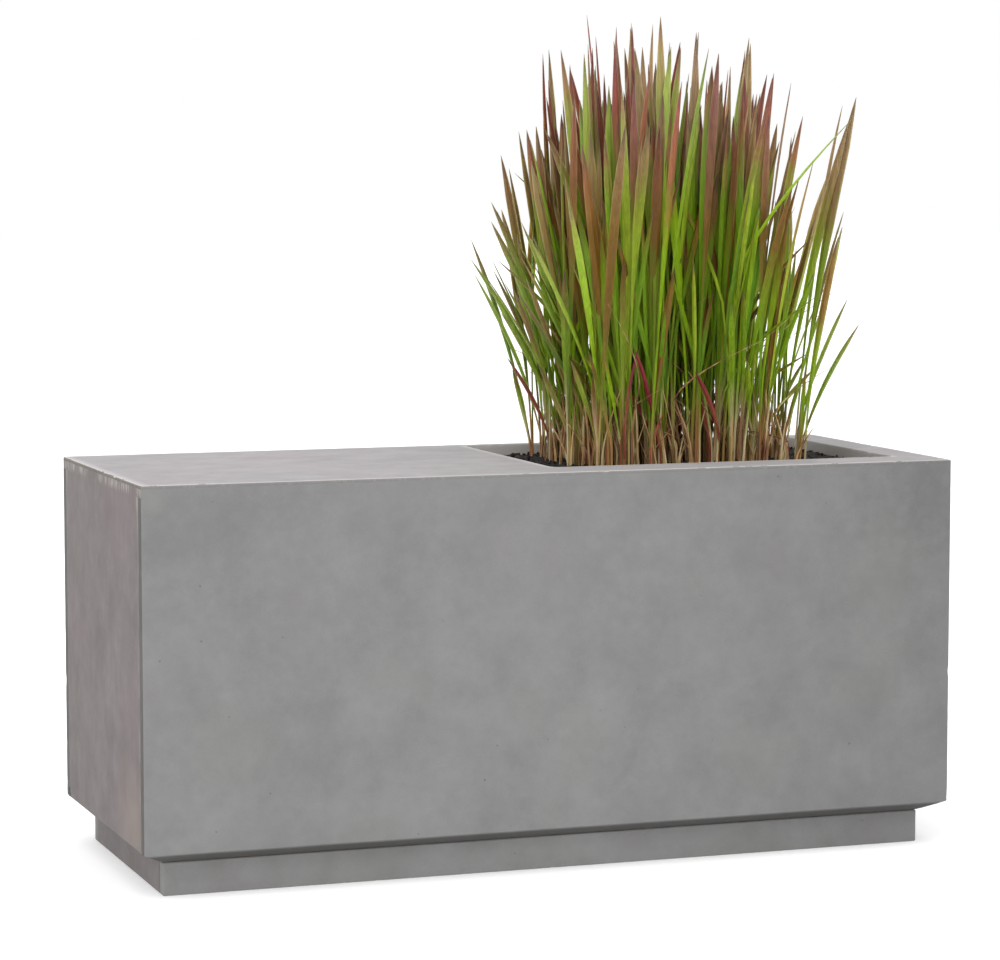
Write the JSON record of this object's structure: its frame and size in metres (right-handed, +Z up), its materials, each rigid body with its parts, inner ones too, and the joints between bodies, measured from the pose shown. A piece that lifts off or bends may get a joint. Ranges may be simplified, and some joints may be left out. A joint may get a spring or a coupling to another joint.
{
  "type": "bench with planter",
  "caption": "Box bench in fibre cement on a set-back plinth, with a flat seat over one half and a planted trough sunk into the other.",
  "frame": {"origin": "middle of the bench's footprint, on the floor it stands on", "axes": "+Z up; +X along the bench from the seat to the planted trough; +Y from the long front face to the back"},
  "size_m": [1, 0.4, 1.0149],
  "materials": {
    "fibre_cement": "matte",
    "seat_cement": "matte",
    "plinth_cement": "matte",
    "raw_cement": "matte",
    "expanded_clay": "matte",
    "soil": "matte",
    "grass": "satin"
  },
  "bodies": {
    "root": {"top_slab": "seat_cement", "front_panel": "fibre_cement", "back_panel": "fibre_cement", "left_end_panel": "fibre_cement", "right_end_panel": "fibre_cement", "plinth_front": "plinth_cement", "plinth_back": "plinth_cement", "plinth_left": "plinth_cement", "plinth_right": "plinth_cement", "plinth_cross_board": "raw_cement", "trough_floor": "raw_cement", "divider_panel": "raw_cement", "trough_front_wall": "fibre_cement", "trough_right_wall": "fibre_cement", "seat_rib_1": "raw_cement", "seat_rib_2": "raw_cement", "seat_rib_3": "raw_cement", "corner_block_front_left": "raw_cement", "corner_block_back_left": "raw_cement", "corner_block_front_right": "raw_cement", "corner_block_back_right": "raw_cement", "drainage_layer": "expanded_clay", "potting_soil": "soil", "grass_clump_1": "grass", "grass_clump_2": "grass", "grass_clump_3": "grass", "grass_clump_4": "grass"}
  },
  "joints": []
}
